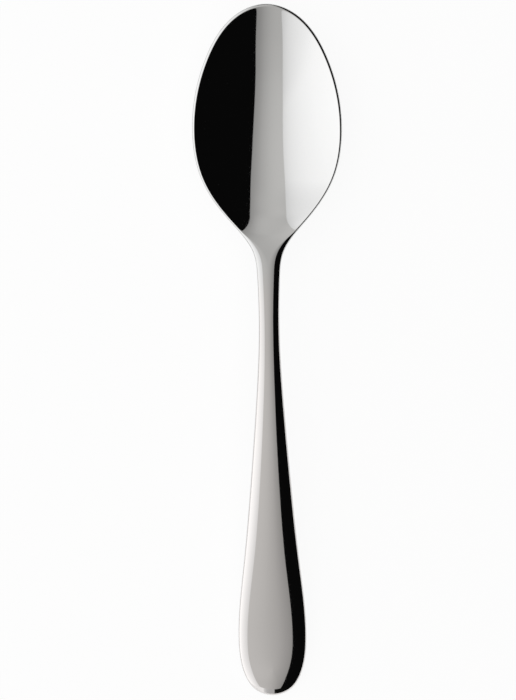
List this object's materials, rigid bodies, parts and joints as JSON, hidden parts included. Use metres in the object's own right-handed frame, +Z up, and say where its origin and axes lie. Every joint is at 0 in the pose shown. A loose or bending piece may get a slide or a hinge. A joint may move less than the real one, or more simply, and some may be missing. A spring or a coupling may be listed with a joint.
{
  "type": "demitasse spoon",
  "caption": "Mirror-polished stainless demitasse spoon: dished oval bowl, narrow neck and an arched, crowned handle that widens to a rounded end.",
  "frame": {"origin": "on the table that the spoon lies on, under the middle of its length and width", "axes": "+Y along the spoon from the end of the handle to the tip of the bowl, +Z up out of the hollow of the bowl, +X to the right with the bowl pointing away"},
  "size_m": [0.0238, 0.11, 0.0105],
  "materials": {
    "polished_steel": "stainless steel, mirror polished all over"
  },
  "bodies": {
    "root": {"spoon": "polished_steel"}
  },
  "joints": []
}
